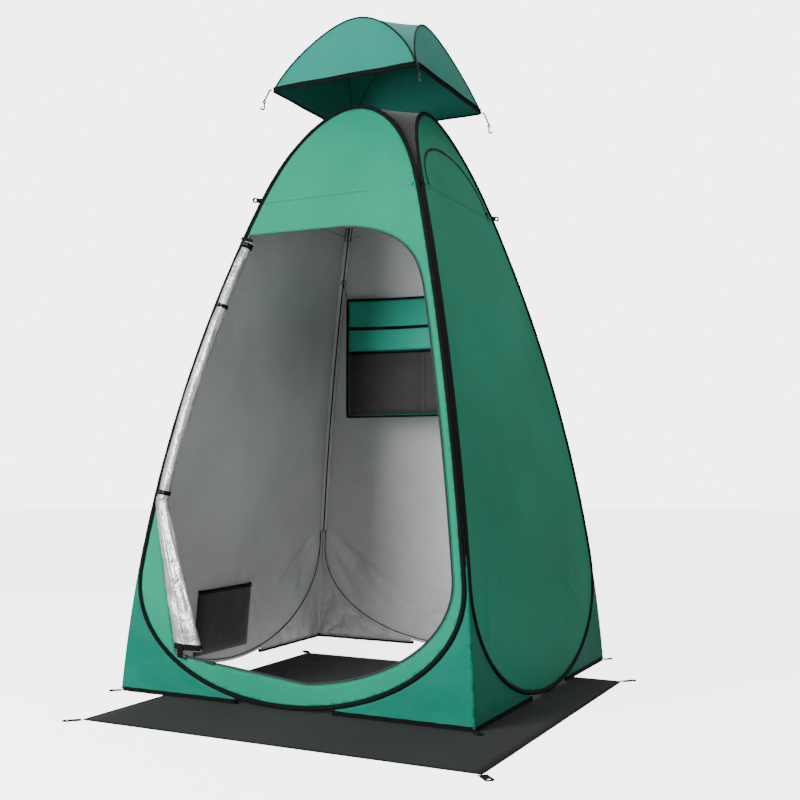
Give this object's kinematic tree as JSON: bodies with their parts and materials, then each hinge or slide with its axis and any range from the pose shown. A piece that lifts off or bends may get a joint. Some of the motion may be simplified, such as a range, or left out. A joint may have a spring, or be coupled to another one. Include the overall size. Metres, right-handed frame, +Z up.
{
  "type": "pop-up privacy shower tent",
  "caption": "Tall square pop-up shower tent with bowed walls on sprung hoops, a rolled door, window flap, hanging organiser, lift-off rain fly and floor mat.",
  "frame": {"origin": "centre of the tent's square base, at floor level on the underside of the floor mat", "axes": "+Z up, -Y towards the door, +X towards the window side"},
  "size_m": [1.4342, 1.6242, 2.2031],
  "materials": {
    "spring_hoop": "drawn spring steel",
    "ferrule": "crimped",
    "black_binding": "black polyester tape",
    "wall_cloth": "coated polyester taffeta, silver inside",
    "fly_cloth": "coated polyester taffeta",
    "silver_cloth": "silver coating",
    "mesh": "open knit mesh",
    "webbing": "woven webbing",
    "zip_tape": "coil zip",
    "zip_metal": "black painted",
    "elastic": "braided elastic",
    "hook_plastic": "moulded",
    "mat_cloth": "coated oxford cloth"
  },
  "bodies": {
    "tent": {"front_spring_hoop": "spring_hoop", "right_spring_hoop": "spring_hoop", "back_spring_hoop": "spring_hoop", "left_spring_hoop": "spring_hoop", "hoop_ferrules": "ferrule", "front_hoop_sleeve": "black_binding", "right_hoop_sleeve": "black_binding", "back_hoop_sleeve": "black_binding", "left_hoop_sleeve": "black_binding", "front_panel": "wall_cloth", "right_panel": "wall_cloth", "back_panel": "wall_cloth", "left_panel": "wall_cloth", "front_right_gusset": "wall_cloth", "back_right_gusset": "wall_cloth", "back_left_gusset": "wall_cloth", "front_left_gusset": "wall_cloth", "corner_seams": "black_binding", "hem_binding": "black_binding", "top_mesh": "mesh", "peg_loops": "webbing", "fly_tabs": "webbing", "inner_tabs": "webbing", "door_zip_tape": "zip_tape", "door_drape": "silver_cloth", "door_drape_tie": "webbing", "window_zip_tape": "zip_tape", "wall_pocket": "mesh", "wall_pocket_binding": "black_binding"},
    "fly": {"fly_canopy": "fly_cloth", "fly_arch_piping": "black_binding", "fly_edge_binding": "black_binding", "fly_elastics": "elastic"},
    "fly_hook_front_right": {"fly_hook_front_right": "hook_plastic"},
    "fly_hook_back_right": {"fly_hook_back_right": "hook_plastic"},
    "fly_hook_back_left": {"fly_hook_back_left": "hook_plastic"},
    "fly_hook_front_left": {"fly_hook_front_left": "hook_plastic"},
    "window": {"window_flap": "wall_cloth"},
    "window_slider": {"window_zip_slider": "zip_metal"},
    "door_slider": {"door_zip_slider": "zip_metal"},
    "door_roll": {"door_roll": "silver_cloth", "door_roll_ties": "webbing"},
    "organiser": {"organiser_sheet": "wall_cloth", "organiser_top_pocket": "wall_cloth", "organiser_mesh_pocket": "mesh", "organiser_binding": "black_binding", "organiser_hooks": "elastic"},
    "mat": {"floor_mat": "mat_cloth", "mat_binding": "black_binding", "mat_tabs": "webbing"}
  },
  "joints": [
    {"name": "fly_lift", "type": "slide", "parent": "tent", "child": "fly", "axis": [0, 0, 1], "range_m": [-0.265, 0]},
    {"name": "fly_hook_front_right_swing", "type": "hinge", "parent": "fly", "child": "fly_hook_front_right", "pos_m": [0.28941, -0.28941, 1.925], "axis": [0.7071, 0.7071, 0], "range_deg": [-35, 10]},
    {"name": "fly_hook_back_right_swing", "type": "hinge", "parent": "fly", "child": "fly_hook_back_right", "pos_m": [0.28941, 0.28941, 1.925], "axis": [-0.7071, 0.7071, 0], "range_deg": [-35, 10]},
    {"name": "fly_hook_back_left_swing", "type": "hinge", "parent": "fly", "child": "fly_hook_back_left", "pos_m": [-0.28941, 0.28941, 1.925], "axis": [-0.7071, -0.7071, 0], "range_deg": [-35, 10]},
    {"name": "fly_hook_front_left_swing", "type": "hinge", "parent": "fly", "child": "fly_hook_front_left", "pos_m": [-0.28941, -0.28941, 1.925], "axis": [0.7071, -0.7071, 0], "range_deg": [-35, 10]},
    {"name": "window_fold", "type": "hinge", "parent": "tent", "child": "window", "pos_m": [0.3006, 0, 1.578], "axis": [0, 1, 0], "range_deg": [0, 150]},
    {"name": "window_zip_slide", "type": "slide", "parent": "tent", "child": "window_slider", "axis": [-0.314, 0, 0.9494], "range_m": [0, 0.02]},
    {"name": "door_zip_slide", "type": "slide", "parent": "tent", "child": "door_slider", "axis": [0.9956, -0.0071, -0.0936], "range_m": [0, 0.28]},
    {"name": "door_roll_swing", "type": "hinge", "parent": "tent", "child": "door_roll", "pos_m": [-0.50596, -0.53836, 0.604], "axis": [0.2173, 0.2173, 0.9516], "range_deg": [0, 35]},
    {"name": "organiser_swing", "type": "hinge", "parent": "tent", "child": "organiser", "pos_m": [0, 0.33718, 1.4175], "axis": [1, 0, 0], "range_deg": [-25, 12]},
    {"name": "mat_slide", "type": "slide", "parent": "tent", "child": "mat", "axis": [-0.4215, 0.9068, 0], "range_m": [0, 0.3915]}
  ]
}
